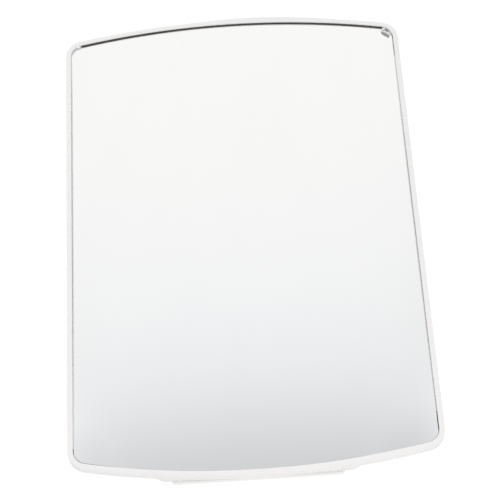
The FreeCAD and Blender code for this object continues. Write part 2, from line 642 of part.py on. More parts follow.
# ================================================================ swivel link
def make_knuckle():
    """The cast swivel block: an upright barrel for panning and a level one for tilting."""
    upright = rod(BARREL_RADIUS, V(0, PAN_AXIS_Y, -PAN_BARREL_HALF), V(0, PAN_AXIS_Y, PAN_BARREL_HALF))
    level = rod(BARREL_RADIUS, V(-TILT_BARREL_HALF, TILT_AXIS_Y, 0), V(TILT_BARREL_HALF, TILT_AXIS_Y, 0))
    web = rounded_box((-WEB_WIDTH / 2, WEB_WIDTH / 2), (TILT_AXIS_Y, PAN_AXIS_Y),
                      (-WEB_HEIGHT / 2, WEB_HEIGHT / 2), WEB_ROUND, Y_AXIS)
    block = upright.fuse([level, web]).removeSplitter()
    pan_reach = PAN_BARREL_HALF + PAST
    tilt_reach = TILT_BARREL_HALF + PAST
    bores = [
        rod(PIVOT_BORE_RADIUS, V(0, PAN_AXIS_Y, -pan_reach), V(0, PAN_AXIS_Y, pan_reach)),
        rod(PIVOT_BORE_RADIUS, V(-tilt_reach, TILT_AXIS_Y, 0), V(tilt_reach, TILT_AXIS_Y, 0)),
    ]
    return block.cut(bores)


def friction_discs(centre, axis, half_length, thickness):
    """The pair of friction discs on the ends of one barrel."""
    discs = []
    for side in (-1, 1):
        start = centre + axis * (side * half_length)
        end = centre + axis * (side * (half_length + thickness))
        discs.append(tube(DISC_RADIUS, PIVOT_BORE_RADIUS, start, end))
    return group(discs)


# ================================================================ clamp
def half_clamp(side):
    """One half of the post clamp. side is -1 for the saddle towards the mirror, +1 for the jaw behind."""
    face_y = side * CLAMP_GAP / 2
    back_y = side * (CLAMP_GAP / 2 + CLAMP_SHEET)
    outer = POST_RADIUS + CLAMP_SHEET
    inner_x = math.sqrt(POST_RADIUS ** 2 - face_y ** 2)
    outer_x = math.sqrt(outer ** 2 - back_y ** 2)
    low = -CLAMP_HEIGHT / 2
    pieces = [
        Part.LineSegment(V(inner_x, face_y, low), V(CLAMP_EAR_REACH, face_y, low)),
        Part.LineSegment(V(CLAMP_EAR_REACH, face_y, low), V(CLAMP_EAR_REACH, back_y, low)),
        Part.LineSegment(V(CLAMP_EAR_REACH, back_y, low), V(outer_x, back_y, low)),
        Part.Arc(V(outer_x, back_y, low), V(0, side * outer, low), V(-outer_x, back_y, low)),
        Part.LineSegment(V(-outer_x, back_y, low), V(-CLAMP_EAR_REACH, back_y, low)),
        Part.LineSegment(V(-CLAMP_EAR_REACH, back_y, low), V(-CLAMP_EAR_REACH, face_y, low)),
        Part.LineSegment(V(-CLAMP_EAR_REACH, face_y, low), V(-inner_x, face_y, low)),
        Part.Arc(V(-inner_x, face_y, low), V(0, side * POST_RADIUS, low), V(inner_x, face_y, low)),
    ]
    wire = Part.Wire([piece.toShape() for piece in pieces])
    half = Part.Face(wire).extrude(V(0, 0, CLAMP_HEIGHT))
    bends = [e for e in edges_along(half, Z_AXIS) if abs(abs(e.BoundBox.Center.x) - outer_x) < 0.01]
    half = half.makeFillet(CLAMP_SHEET, bends)
    corners = [e for e in edges_along(half, Y_AXIS) if abs(e.BoundBox.Center.x) > CLAMP_EAR_REACH - 1]
    half = half.makeFillet(CLAMP_EAR_CORNER, corners)
    holes = holes_along_y(clamp_bolt_points(), M8["hole"], -outer, outer)
    return half.cut(holes)


def clamp_bolt_points():
    """The clamp's four bolt positions, as (x, z)."""
    return [(x, z) for x in (-CLAMP_BOLT_X, CLAMP_BOLT_X) for z in (-CLAMP_BOLT_Z, CLAMP_BOLT_Z)]


def fork_plate(z_low):
    """One level plate of the fork, shaped to the saddle at its root and round at its eye."""
    corners = lug_outline(FORK_ROOT_HALF, FORK_ROOT_Y, PAN_AXIS_Y, FORK_EYE)
    plate = polygon_face([V(v, u, z_low) for u, v in corners]).extrude(V(0, 0, FORK_THICKNESS))
    z_high = z_low + FORK_THICKNESS
    eye = rod(FORK_EYE, V(0, PAN_AXIS_Y, z_low), V(0, PAN_AXIS_Y, z_high))
    plate = plate.fuse(eye).removeSplitter()
    hole = rod(PIVOT_HOLE_RADIUS, V(0, PAN_AXIS_Y, z_low - PAST), V(0, PAN_AXIS_Y, z_high + PAST))
    saddle_space = rod(POST_RADIUS + CLAMP_SHEET, V(0, 0, z_low - PAST), V(0, 0, z_high + PAST))
    return plate.cut([hole, saddle_space])


def fork_level():
    """Height of the fork plates' inner faces above and below the middle."""
    return PAN_BARREL_HALF + DISC_THICKNESS + RUNNING_GAP


def make_fork_gusset():
    """The upright stiffener between the fork plates."""
    level = fork_level()
    web = box((-GUSSET_THICKNESS / 2, GUSSET_THICKNESS / 2), (GUSSET_FRONT_Y, -POST_RADIUS), (-level, level))
    return web.cut(rod(POST_RADIUS + CLAMP_SHEET, V(0, 0, -level - PAST), V(0, 0, level + PAST)))


def write_clamp_fasteners():
    """The clamp's bolts, washers and nuts."""
    ear_y = CLAMP_GAP / 2 + CLAMP_SHEET
    head_y = -ear_y - M8["washer"]
    grip = 2 * ear_y + M8["washer"]
    bolt = hex_bolt(M8, grip, grip + M8["washer"] + M8["nut"] + BOLT_TIP)
    ring = washer(M8)
    nut = hex_nut(M8, M8["nut"])
    points = clamp_bolt_points()
    rings = [put(ring, V(x, -ear_y, z), -Y_AXIS) for x, z in points]
    rings += [put(ring, V(x, ear_y, z), Y_AXIS) for x, z in points]
    write("clamp_bolts", group([put(bolt, V(x, head_y, z), -Y_AXIS) for x, z in points]))
    write("clamp_washers", group(rings))
    write("clamp_nuts", group([put(nut, V(x, ear_y + M8["washer"], z), Y_AXIS) for x, z in points]))


def write_pan_pivot():
    """The pan bolt through the fork, with washers and a lock nut."""
    outer_z = fork_level() + FORK_THICKNESS
    head_z = outer_z + M12["washer"]
    grip = head_z + outer_z
    bolt = hex_bolt(M12, grip, grip + M12["washer"] + M12["nut"] + BOLT_TIP)
    write("pan_bolt", put(bolt, V(0, PAN_AXIS_Y, head_z), Z_AXIS))
    write("pan_nut", put(lock_nut(M12), V(0, PAN_AXIS_Y, -head_z), -Z_AXIS))
    ring = washer(M12)
    write("pan_washers", group([put(ring, V(0, PAN_AXIS_Y, outer_z), Z_AXIS),
                                put(ring, V(0, PAN_AXIS_Y, -outer_z), -Z_AXIS)]))


# ================================================================ all nodes
def write_head():
    """Everything that tilts with the mirror."""
    mirror = make_mirror_face()
    write("mirror_face", mirror)
    write("bezel_frame", make_bezel_frame())
    write("front_gasket", make_front_gasket())
    write("gasket_corner_wedge", make_corner_wedge(mirror))
    tape = outline_ring(TAPE_INSET, TAPE_INSET + TAPE_WIDTH, TAPE_FRONT_Y, SHELL_FRONT_Y)
    rivet = make_rivet()
    rivets = [put(rivet, V(x, EDGING_BACK_Y, z), Y_AXIS) for x, z in rivet_points()]
    tails = holes_along_y(rivet_points(), RIVET_TAIL_RADIUS, TAPE_FRONT_Y - PAST, SHELL_FRONT_Y + PAST)
    write("sealing_tape", tape.cut([mirror] + tails))
    write("bezel_rivets", group(rivets))
    write("back_shell", make_back_shell())
    write("rear_rail", make_rear_rail())
    screw = make_rail_screw()
    screws = [put(screw, V(x, RAIL_BACK_Y, z), Y_AXIS) for x, z in rail_screw_points()]
    write("rail_screws", group(screws))
    write("rail_screw_spacers", spacers(rail_screw_points(), SCREW_SPACER_RADIUS, RAIL_SCREW_HOLE_RADIUS))
    write("rail_nut_strips", make_nut_strips())
    write("yoke_backing_plate", make_backing_plate())
    write("yoke_spacer_sleeves", spacers(yoke_bolt_points(), SLEEVE_RADIUS, M8["hole"]))
    write("head_yoke", make_head_yoke())
    write_yoke_fasteners()
    write_tilt_pivot()


def write_link():
    """The block that pans in the fork and carries the head."""
    write("swivel_knuckle", make_knuckle())
    pan_centre = V(0, PAN_AXIS_Y, 0)
    tilt_centre = V(0, TILT_AXIS_Y, 0)
    write("pan_friction_discs", friction_discs(pan_centre, Z_AXIS, PAN_BARREL_HALF, DISC_THICKNESS))
    write("tilt_friction_discs", friction_discs(tilt_centre, X_AXIS, TILT_BARREL_HALF, DISC_THICKNESS))


def write_clamp():
    """Everything that stays on the post."""
    write("post_saddle", half_clamp(-1))
    write("clamp_jaw", half_clamp(1))
    level = fork_level()
    write("fork_upper_plate", fork_plate(level))
    write("fork_lower_plate", fork_plate(-level - FORK_THICKNESS))
    write("fork_gusset", make_fork_gusset())
    write_clamp_fasteners()
    write_pan_pivot()


write_head()
write_link()
write_clamp()
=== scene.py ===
"""Looks of the rectangular convex traffic mirror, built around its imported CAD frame. Metres, +Z up."""
import json
import math

import bpy
from mathutils import Matrix, Vector, noise


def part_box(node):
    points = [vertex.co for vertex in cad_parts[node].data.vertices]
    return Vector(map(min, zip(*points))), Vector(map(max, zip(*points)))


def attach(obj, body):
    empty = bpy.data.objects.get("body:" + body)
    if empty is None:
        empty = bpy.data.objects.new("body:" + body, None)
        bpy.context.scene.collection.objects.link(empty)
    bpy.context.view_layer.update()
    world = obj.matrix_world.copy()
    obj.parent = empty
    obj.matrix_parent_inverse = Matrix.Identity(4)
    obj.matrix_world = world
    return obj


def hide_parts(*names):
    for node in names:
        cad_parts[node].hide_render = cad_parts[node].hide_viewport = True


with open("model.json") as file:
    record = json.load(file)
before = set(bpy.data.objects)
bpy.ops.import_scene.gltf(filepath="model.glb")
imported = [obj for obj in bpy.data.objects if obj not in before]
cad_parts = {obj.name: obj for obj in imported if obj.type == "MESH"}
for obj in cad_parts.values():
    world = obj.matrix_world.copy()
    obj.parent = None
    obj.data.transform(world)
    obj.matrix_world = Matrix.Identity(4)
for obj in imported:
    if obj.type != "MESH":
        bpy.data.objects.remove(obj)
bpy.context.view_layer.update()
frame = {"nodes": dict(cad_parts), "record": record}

MM = 0.001
nodes = frame["nodes"]

# ---------------------------------------------------------------- the head, as the CAD frame has it
edging_low, edging_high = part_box("bezel_frame")
gasket_low, gasket_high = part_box("front_gasket")
spine_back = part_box("back_shell")[1].y
HALF_W = edging_high.x
HALF_H = -edging_low.z                  # without the crown, which only the top has
CROWN_RISE = edging_high.z - HALF_H     # how far the edging stands proud along the middle of its top
CROWN_MIDDLE = 38 * MM
CROWN_HALF = 88 * MM
CROWN_FADE = 3.5 * MM                   # inset at which the crown has run out
FRONT_Y = edging_low.y
EDGING_BACK = edging_high.y
GASKET_FRONT = gasket_low.y
MIRROR_FRONT = gasket_high.y            # the plane of the mirror's edge
DOME_RISE = MIRROR_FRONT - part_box("mirror_face")[0].y
DOME_ACROSS = (0.4, 0.2)                # shares of the 2nd and 4th powers in the dome's sections
DOME_UPWARD = (0.6, 0.3)
MIRROR_INSET = 3.2 * MM
MIRROR_THICKNESS = 3.0 * MM
ARCH_RISE = 22.1 * MM
ARCH_RADIUS = (HALF_W ** 2 + ARCH_RISE ** 2) / (2 * ARCH_RISE)
ARCH_CENTRE = HALF_H - ARCH_RADIUS
CORNER_RADIUS = 22 * MM
SPINE_BASE = 219 * MM
SPINE_TOP = 200 * MM

# ---------------------------------------------------------------- the edging's section
LIP_WIDTH = 6 * MM
LIP_THICKNESS = 1.6 * MM
LIP_TURN = 0.8 * MM                     # width of the lip's inner edge, which is turned down to the mirror
LIP_ROUND = 0.6 * MM
LIP_SET_BACK = 0.1 * MM                 # the lip's inner round starts this far behind the front
OUTER_ROUND = 1.5 * MM
EDGING_WALL = 2.0 * MM
LINE_STARTS = (3.6 * MM, 7.2 * MM)      # the two fine lines round the wall
LINE_WIDTH = 0.7 * MM
LINE_DEPTH = 0.35 * MM
LINE_EASE = 0.1 * MM
REAR_ROUND = 0.8 * MM
REAR_LIP_WIDTH = 14 * MM
REAR_LIP_THICKNESS = 1.4 * MM
REAR_LIP_ROUND = 0.5 * MM
SHELL_BACK = EDGING_BACK - REAR_LIP_THICKNESS
NOTCH_GAP = 0.2 * MM                    # between the rear lip and the spine

# ---------------------------------------------------------------- the rubber line
LEFT_JOINT_X = -182 * MM                # the thick length along the top ends at these two joints
RIGHT_JOINT_X = 182.5 * MM
WEDGE_LOW = 266 * MM                    # heights between which the wedge lies beside the line
WEDGE_FOOT = 242 * MM
TOP_GAP = 4 * MM                        # gaps between lip and mirror, in which the rubber shows
LEFT_GAP_LOW = 0.27 * MM
LEFT_GAP_HIGH = 0.42 * MM
RIGHT_GAP_LOW = 0.55 * MM
RIGHT_GAP_HIGH = 0.15 * MM
RIGHT_GAP_MORE = 0.3 * MM               # added near the bottom of the right side
WEDGE_GAP = 2.4 * MM                    # added beside the wedge
TOP_SWELL = 0.62 * MM                   # how far the rubber bulges past the lip at the left joint
TOP_TAPER = 0.42 * MM                   # less by this at the right joint
TOP_DROP = 0.25 * MM                    # less by this past the left part
BOTTOM_SWELL = 1.2 * MM
BOTTOM_DROP = 0.35 * MM                 # less by this in the middle of the bottom
SIDE_SINK = 0.9 * MM                    # how far it lies back under the lip along the sides
WEDGE_SWELL = 1.1 * MM
LEFT_CORNER_SWELL = 1.85 * MM           # added in the lower corners
RIGHT_CORNER_SWELL = 1.3 * MM
PINCH_SWELL = 1.2 * MM                  # added where the right side's rubber is pinched out
PINCH_HEIGHT = 52 * MM                  # above the bottom
WAVER = 0.08 * MM
WAVER_SCALE = 45

# ---------------------------------------------------------------- the wedge in the upper right corner
WEDGE_CENTRE = (185.2 * MM, 264.7 * MM)
WEDGE_TURN = math.radians(40)
WEDGE_LENGTH = 11.8 * MM
WEDGE_RIBS = 6
BLOCK_HALF = 1.3 * MM                   # half the ribbed block's width
BLOCK_LEAN = 0.8
TONGUE_NEAR = 1.4 * MM                  # the tongue's edges, from the block's middle line
TONGUE_FAR = 4.6 * MM
TONGUE_RISE = 1.3 * MM
FOOT_NEAR = 2.0 * MM                    # the foot's edges, inwards from the lip's edge
FOOT_FAR = 0.4 * MM

# ---------------------------------------------------------------- fineness of the meshes
SIDE_STEPS = 50
CORNER_STEPS = 20
ARCH_STEPS = 90
MIRROR_RINGS = 64
RING_CROWDING = 1.25                    # above 1 the rings lie closer together towards the edge
GASKET_ROWS = 5


# ---------------------------------------------------------------- the head's outline and dome
def arch_height(x, inset):
    """Height of the arched edge at x, on an outline drawn in by inset."""
    return ARCH_CENTRE + math.sqrt(max((ARCH_RADIUS - inset) ** 2 - x * x, 0))


def outline(inset):
    """The head's outline drawn in by inset, as a closed loop of (x, z) that starts at the right."""
    radius = max(CORNER_RADIUS - inset, 0.2 * MM)
    half = HALF_W - inset
    reach = ARCH_RADIUS - inset
    corner_x = half - radius
    corner_z = ARCH_CENTRE + math.sqrt((reach - radius) ** 2 - corner_x ** 2)
    lean = math.atan2(corner_z - ARCH_CENTRE, corner_x)
    quarter = [(half, corner_z * i / SIDE_STEPS) for i in range(SIDE_STEPS)]
    for i in range(CORNER_STEPS):
        angle = lean * i / CORNER_STEPS
        quarter.append((corner_x + radius * math.cos(angle), corner_z + radius * math.sin(angle)))
    for i in range(ARCH_STEPS + 1):
        angle = lean + (math.pi / 2 - lean) * i / ARCH_STEPS
        quarter.append((reach * math.cos(angle), ARCH_CENTRE + reach * math.sin(angle)))
    loop = quarter + [(-x, z) for x, z in reversed(quarter[:-1])]
    loop += [(-x, -z) for x, z in quarter[1:]]
    loop += [(x, -z) for x, z in reversed(quarter[1:-1])]
    return loop


def crown(x, z, inset):
    """How far the edging's outer wall stands proud along the middle of the top."""
    share = min(abs(x - CROWN_MIDDLE) / CROWN_HALF, 1)
    if z < 0 or inset > CROWN_FADE:
        return 0.0
    return CROWN_RISE * (1 - share ** 2) ** 1.3 * (1 - inset / CROWN_FADE)


def bow(t, shares):
    """The dome's section, from 1 in the middle to 0 at t = 1."""
    rest = 1 - sum(shares)
    return 1 - shares[0] * t ** 2 - shares[1] * t ** 4 - rest * t ** 8


def dome(x, z):
    """Rise of the mirror's face at a point."""
    across = bow(x / (HALF_W - MIRROR_INSET), DOME_ACROSS)
    upward = bow(z / arch_height(x, MIRROR_INSET), DOME_UPWARD)
    return DOME_RISE * max(across, 0) * max(upward, 0)


def dome_normal(x, z):
    """Outward normal of the mirror's face."""
    step = 0.05 * MM
    slope_x = (dome(x + step, z) - dome(x - step, z)) / (2 * step)
    slope_z = (dome(x, z + step) - dome(x, z - step)) / (2 * step)
    return Vector((-slope_x, -1.0, -slope_z)).normalized()


def bell(distance, width):
    """A smooth hump: 1 at no distance, and almost 0 past twice the width."""
    return math.exp(-(distance / width) ** 2)


def ease(value, low, high, to_low, to_high):
    """Goes smoothly from to_low to to_high while the value goes from low to high."""
    share = min(max((value - low) / (high - low), 0), 1)
    return to_low + (to_high - to_low) * share * share * (3 - 2 * share)


# ---------------------------------------------------------------- mesh helpers
def add_mesh(name, points, faces, sharp_degrees=35):
    """A new smooth-shaded object, its edges sharp above an angle."""
    mesh = bpy.data.meshes.new(name)
    mesh.from_pydata([tuple(p) for p in points], [], faces)
    mesh.validate()
    mesh.shade_smooth()
    mesh.set_sharp_from_angle(angle=math.radians(sharp_degrees))
    obj = bpy.data.objects.new(name, mesh)
    bpy.context.scene.collection.objects.link(obj)
    return obj


def ring_faces(rings, size, closed):
    """Quads between rings of equal size, the last ring joined to the first if closed."""
    faces = []
    for r in range(rings if closed else rings - 1):
        here = r * size
        there = ((r + 1) % rings) * size
        for i in range(size):
            j = (i + 1) % size
            faces.append((here + i, here + j, there + j, there + i))
    return faces


def sweep_outline(name, profile):
    """A closed band round the head. Each profile point is (inset, y); y may be a function of x and z."""
    points = []
    for inset, y in profile:
        for x, z in outline(inset):
            points.append((x, y(x, z) if callable(y) else y, z + crown(x, z, inset)))
    size = len(points) // len(profile)
    return add_mesh(name, points, ring_faces(len(profile), size, True))


def arc_points(centre, radius, start, end, steps):
    """Points of a round in a profile; angles in degrees, from the first axis."""
    found = []
    for i in range(steps + 1):
        angle = math.radians(start + (end - start) * i / steps)
        found.append((centre[0] + radius * math.cos(angle), centre[1] + radius * math.sin(angle)))
    return found


def cut_away(obj, cutter):
    """Takes one mesh out of another and removes the cutter."""
    modifier = obj.modifiers.new("cut", "BOOLEAN")
    modifier.operation = "DIFFERENCE"
    modifier.solver = "EXACT"
    modifier.object = cutter
    depsgraph = bpy.context.evaluated_depsgraph_get()
    mesh = bpy.data.meshes.new_from_object(obj.evaluated_get(depsgraph))
    obj.modifiers.clear()
    obj.data = mesh
    bpy.data.objects.remove(cutter)


def tube_along(name, path, radii, sides=12):
    """A closed tube of varying radius along a path."""
    points = []
    normal = None
    for i, centre in enumerate(path):
        ahead = path[min(i + 1, len(path) - 1)] - path[max(i - 1, 0)]
        ahead.normalize()
        if normal is None:
            normal = ahead.orthogonal().normalized()
        normal = (normal - ahead * normal.dot(ahead)).normalized()
        side = ahead.cross(normal)
        for k in range(sides):
            angle = 2 * math.pi * k / sides
            points.append(centre + (normal * math.cos(angle) + side * math.sin(angle)) * radii[i])
    faces = ring_faces(len(path), sides, False)
    faces.append(tuple(range(sides)))
    last = (len(path) - 1) * sides
    faces.append(tuple(last + k for k in reversed(range(sides))))
    return add_mesh(name, points, faces, 60)


# ---------------------------------------------------------------- shader helpers
class Nodes:
    """Short ways to add and join the nodes of one shader tree."""

    def __init__(self, tree):
        self.tree = tree

    def node(self, kind, **settings):
        """A new node with its properties set."""
        made = self.tree.nodes.new(kind)
        for key, value in settings.items():
            setattr(made, key, value)
        return made

    def link(self, source, target):
        """Joins two sockets."""
        self.tree.links.new(source, target)

    def feed(self, socket, value):
        """Gives a socket another socket's output, an (r, g, b) or a number."""
        if isinstance(value, bpy.types.NodeSocket):
            self.link(value, socket)
        elif isinstance(value, tuple):
            socket.default_value = (*value, 1.0)
        else:
            socket.default_value = value

    def span(self, value, low, high, to_low=0, to_high=1, shape="LINEAR"):
        """Maps low..high to to_low..to_high, clamped."""
        made = self.node("ShaderNodeMapRange", interpolation_type=shape)
        for key, number in (("From Min", low), ("From Max", high), ("To Min", to_low), ("To Max", to_high)):
            made.inputs[key].default_value = number
        self.link(value, made.inputs["Value"])
        return made.outputs["Result"]

    def math(self, operation, first, second=0.0):
        """One maths step; either input may be a number."""
        made = self.node("ShaderNodeMath", operation=operation)
        self.feed(made.inputs[0], first)
        self.feed(made.inputs[1], second)
        return made.outputs[0]

    def blend(self, factor, first, second):
        """A colour between two, by a factor. Either may be a socket or an (r, g, b)."""
        made = self.node("ShaderNodeMix", data_type="RGBA")
        self.link(factor, made.inputs["Factor"])
        self.feed(made.inputs[6], first)
        self.feed(made.inputs[7], second)
        return made.outputs[2]


class Surface(Nodes):
    """A Principled material with helpers for its procedural detail."""

    def __init__(self, name, specular=0.5, metallic=0.0):
        self.material = bpy.data.materials.new(name)
        self.material.use_nodes = True
        super().__init__(self.material.node_tree)
        self.shader = self.tree.nodes["Principled BSDF"]
        self.shader.inputs["Specular IOR Level"].default_value = specular
        self.shader.inputs["Metallic"].default_value = metallic
        self.coords = self.node("ShaderNodeTexCoord").outputs["Object"]

    def stretched(self, scale):
        """Object coordinates scaled per axis."""
        mapping = self.node("ShaderNodeMapping")
        mapping.inputs["Scale"].default_value = scale
        self.link(self.coords, mapping.inputs["Vector"])
        return mapping.outputs["Vector"]

    def noise(self, scale, detail=4.0, roughness=0.55, coords=None):
        """Noise from 0 to 1. Scale is in cycles per metre."""
        made = self.node("ShaderNodeTexNoise")
        made.inputs["Scale"].default_value = scale
        made.inputs["Detail"].default_value = detail
        made.inputs["Roughness"].default_value = roughness
        self.link(coords or self.coords, made.inputs["Vector"])
        return made.outputs["Fac"]

    def cells(self, scale, output, coords=None):
        """Voronoi cells. Scale is in cells per metre."""
        made = self.node("ShaderNodeTexVoronoi")
        made.inputs["Scale"].default_value = scale
        self.link(coords or self.coords, made.inputs["Vector"])
        return made.outputs[output]

    def near(self, place, fade, full, amount):
        """Rises from 0 at the distance fade to the amount at the distance full from a place."""
        away = self.node("ShaderNodeVectorMath", operation="DISTANCE")
        self.link(self.coords, away.inputs[0])
        away.inputs[1].default_value = place
        return self.span(away.outputs["Value"], full, fade, amount, 0)

    def set(self, socket, value):
        """Links a value to the shader."""
        self.link(value, self.shader.inputs[socket])

    def colours(self, pattern, low, high, first, second):
        """Base colour: the first where the pattern is under low, the second above high."""
        self.set("Base Color", self.blend(self.span(pattern, low, high), first, second))

    def roughness(self, pattern, low, high, smooth, rough):
        """Roughness: smooth where the pattern is under low, rough above high."""
        self.set("Roughness", self.span(pattern, low, high, smooth, rough))

    def bump(self, height, distance, strength=0.5):
        """Relief from a 0..1 height, its depth in metres. A second call adds to the first."""
        made = self.node("ShaderNodeBump")
        made.inputs["Strength"].default_value = strength
        made.inputs["Distance"].default_value = distance
        self.link(height, made.inputs["Height"])
        normal = self.shader.inputs["Normal"]
        if normal.is_linked:
            self.link(normal.links[0].from_socket, made.inputs["Normal"])
        self.link(made.outputs["Normal"], normal)


# ---------------------------------------------------------------- materials
def moulded_plastic(name, light, shade, dust, fine_scale, relief):
    """White moulded plastic: faint flow marks, a fine satin texture and a little dust."""
    s = Surface(name, specular=0.45)
    flow = s.noise(7, 3, 0.5, s.stretched((1.0, 1.0, 0.25)))
    tone = s.blend(s.span(flow, 0.35, 0.65), light, shade)
    specks = s.span(s.noise(420, 2, 0.7), 0.68, 0.80, 0, 0.25)
    s.set("Base Color", s.blend(specks, tone, dust))
    s.roughness(s.noise(60, 5, 0.6), 0.3, 0.7, 0.30, 0.44)
    s.bump(s.noise(fine_scale, 3, 0.6), relief)
    s.bump(s.noise(25, 2, 0.5), 0.05 * MM, 0.35)
    return s.material


def powder_coat():
    """White powder coat with its orange-peel skin."""
    s = Surface("white_powder_coat")
    s.colours(s.noise(9, 4), 0.35, 0.7, (0.92, 0.915, 0.90), (0.89, 0.885, 0.87))
    s.roughness(s.noise(35, 4), 0.3, 0.7, 0.28, 0.42)
    s.bump(s.noise(620, 1.5, 0.4), 0.04 * MM)
    return s.material


def black_rubber():
    """Extruded rubber: warm black and matt, with a chalky bloom."""
    s = Surface("black_rubber", specular=0.3)
    bloom = s.span(s.noise(140, 5, 0.65), 0.52, 0.8, 0, 0.5)
    s.set("Base Color", s.blend(bloom, (0.084, 0.078, 0.070), (0.150, 0.141, 0.128)))
    s.roughness(s.noise(300, 4), 0.3, 0.7, 0.62, 0.85)
    s.bump(s.noise(1500, 3), 0.08 * MM, 0.6)
    return s.material


def grey_plastic(name, dark, light):
    """Matt plastic of the corner wedge."""
    s = Surface(name, specular=0.4)
    s.colours(s.noise(500, 3), 0.35, 0.7, dark, light)
    s.roughness(s.noise(700, 3), 0.3, 0.7, 0.45, 0.65)
    s.bump(s.noise(2200, 2), 0.05 * MM)
    return s.material


def sealant():
    """White sealant, glossy."""
    s = Surface("white_sealant")
    s.colours(s.noise(900, 3), 0.3, 0.7, (0.97, 0.97, 0.97), (0.94, 0.94, 0.94))
    s.roughness(s.noise(400, 3), 0.3, 0.7, 0.30, 0.45)
    s.bump(s.noise(500, 2), 0.02 * MM, 0.3)
    return s.material


def foam_tape():
    """Closed-cell foam."""
    s = Surface("foam_tape", specular=0.2)
    cells = s.cells(1400, "Distance")
    s.colours(cells, 0.1, 0.7, (0.06, 0.06, 0.06), (0.16, 0.16, 0.16))
    s.roughness(s.noise(300), 0.3, 0.7, 0.85, 0.98)
    s.bump(cells, 0.2 * MM, 0.7)
    return s.material


def galvanised(name, cell_size, bright, dark, relief, rough=(0.34, 0.52)):
    """Hot-dip galvanised steel: spangle with wandering borders, and a dull bloom."""
    s = Surface(name, metallic=1.0)
    wobble = s.node("ShaderNodeTexNoise")
    wobble.inputs["Scale"].default_value = 0.6 / cell_size
    s.link(s.coords, wobble.inputs["Vector"])
    warp = s.node("ShaderNodeVectorMath", operation="MULTIPLY_ADD")
    s.link(wobble.outputs["Color"], warp.inputs[0])
    warp.inputs[1].default_value = (cell_size * 0.5,) * 3
    s.link(s.coords, warp.inputs[2])
    grey = s.node("ShaderNodeRGBToBW")
    s.link(s.cells(1 / cell_size, "Color", warp.outputs[0]), grey.inputs[0])
    spangle = grey.outputs[0]
    tone = s.blend(s.span(spangle, 0.15, 0.85), dark, bright)
    bloom = s.span(s.noise(28, 6, 0.6), 0.5, 0.75, 0, 0.45)
    s.set("Base Color", s.blend(bloom, tone, (0.60, 0.61, 0.61)))
    mottled = s.math("ADD", s.span(spangle, 0, 1, *rough), s.span(bloom, 0, 0.45, 0, 0.14))
    s.set("Roughness", mottled)
    s.bump(s.noise(180, 5, 0.6), relief)
    return s.material


def zinc_plate():
    """Bright zinc-plated fasteners with a faint blue and straw tint."""
    s = Surface("zinc_plate", metallic=1.0)
    s.colours(s.noise(90, 3), 0.38, 0.64, (0.60, 0.62, 0.66), (0.69, 0.66, 0.60))
    s.roughness(s.noise(350, 6, 0.7), 0.25, 0.75, 0.22, 0.42)
    s.bump(s.noise(1100, 3), 0.04 * MM)
    return s.material


def rivet_aluminium():
    """Satin aluminium."""
    s = Surface("rivet_aluminium", metallic=1.0)
    s.colours(s.noise(260, 4), 0.35, 0.65, (0.74, 0.75, 0.76), (0.83, 0.83, 0.83))
    s.roughness(s.noise(900, 4), 0.3, 0.7, 0.30, 0.46)
    s.bump(s.noise(1600, 2), 0.03 * MM)
    return s.material


def nylon():
    """Natural nylon discs."""
    s = Surface("natural_nylon", specular=0.45)
    s.colours(s.noise(200, 3), 0.3, 0.7, (0.72, 0.69, 0.61), (0.80, 0.78, 0.71))
    s.roughness(s.noise(500, 3), 0.3, 0.7, 0.38, 0.55)
    s.bump(s.noise(1500, 2), 0.03 * MM)
    return s.material


def mirror_silver():
    """Silvered sheet: the faintest film of dust and wiping marks, and painted shade that darkens the lower
    corners.
    """
    s = Surface("mirror_silver", metallic=1.0)
    wipes = s.noise(16, 6, 0.6, s.stretched((1.0, 1.0, 0.35)))
    film = s.span(wipes, 0.45, 0.8)
    clean = s.blend(film, (0.970, 0.972, 0.972), (0.958, 0.960, 0.962))
    # Painted shade: near the two lower corners the base colour darkens towards (0.83, 0.835, 0.84), more at
    # the right one.
    right = s.near((HALF_W, MIRROR_FRONT, -HALF_H), 78 * MM, 22 * MM, 0.9)
    left = s.near((-HALF_W, MIRROR_FRONT, 25 * MM - HALF_H), 50 * MM, 15 * MM, 0.6)
    s.set("Base Color", s.blend(s.math("ADD", right, left), clean, (0.83, 0.835, 0.84)))
    s.roughness(film, 0, 1, 0.004, 0.022)
    return s.material


SURFACES = {
    "mirror": mirror_silver(),
    "white_edging": moulded_plastic("white_edging", (0.903, 0.891, 0.885), (0.883, 0.871, 0.864),
                                    (0.78, 0.765, 0.755), 1300, 0.01 * MM),
    "white_shell": moulded_plastic("white_shell", (0.86, 0.857, 0.842), (0.83, 0.827, 0.812),
                                   (0.70, 0.69, 0.66), 900, 0.06 * MM),
    "white_paint": powder_coat(),
    "black_rubber": black_rubber(),
    "grey_plastic": grey_plastic("grey_plastic", (0.37, 0.37, 0.36), (0.47, 0.47, 0.46)),
    "foam_tape": foam_tape(),
    "rivet_aluminium": rivet_aluminium(),
    "galvanised_steel": galvanised("galvanised_steel", 7 * MM,
                                   (0.68, 0.69, 0.70), (0.50, 0.51, 0.53), 0.08 * MM),
    "cast_iron_grey": galvanised("galvanised_casting", 3.5 * MM,
                                 (0.58, 0.59, 0.60), (0.47, 0.48, 0.49), 0.5 * MM, (0.45, 0.62)),
    "zinc_fastener": zinc_plate(),
    "nylon_disc": nylon(),
    "wedge_pale": grey_plastic("pale_plastic", (0.74, 0.74, 0.73), (0.83, 0.83, 0.82)),
    "sealant": sealant(),
    "weld": galvanised("galvanised_weld", 1.6 * MM,
                       (0.60, 0.60, 0.61), (0.42, 0.42, 0.43), 0.25 * MM, (0.40, 0.58)),
}


def finish_piece(obj, slot, body, *replaced, surface=None):
    """Gives a new piece the material of its slot, or of the given surface, and its body."""
    obj.data.materials.clear()
    obj.data.materials.append(SURFACES[surface or slot])
    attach(obj, body)
    if replaced:
        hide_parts(*replaced)
    return obj


